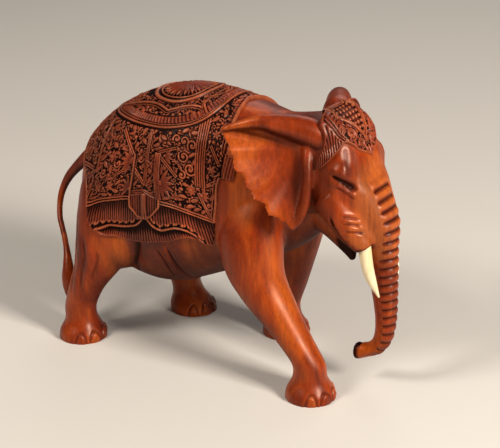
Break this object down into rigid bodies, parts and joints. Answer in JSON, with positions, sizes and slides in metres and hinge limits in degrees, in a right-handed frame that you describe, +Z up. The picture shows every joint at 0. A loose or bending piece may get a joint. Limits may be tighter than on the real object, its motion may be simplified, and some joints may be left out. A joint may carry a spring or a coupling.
{
  "type": "carved wooden elephant",
  "caption": "Standing carved hardwood elephant figurine in mid-stride, with a relief-carved saddle cloth and headdress and inset tusks.",
  "frame": {"origin": "middle of the bounding box at the level of the soles", "axes": "+X the way the elephant faces, +Y its left side, +Z up"},
  "size_m": [0.2602, 0.115, 0.1821],
  "materials": {
    "carved_wood": "red-brown hardwood, satin lacquer, dark stain in the carved recesses",
    "tusk": "cream bone or resin, softly polished"
  },
  "bodies": {
    "root": {"carved_body": "carved_wood", "right_tusk": "tusk", "left_tusk": "tusk"}
  },
  "joints": []
}
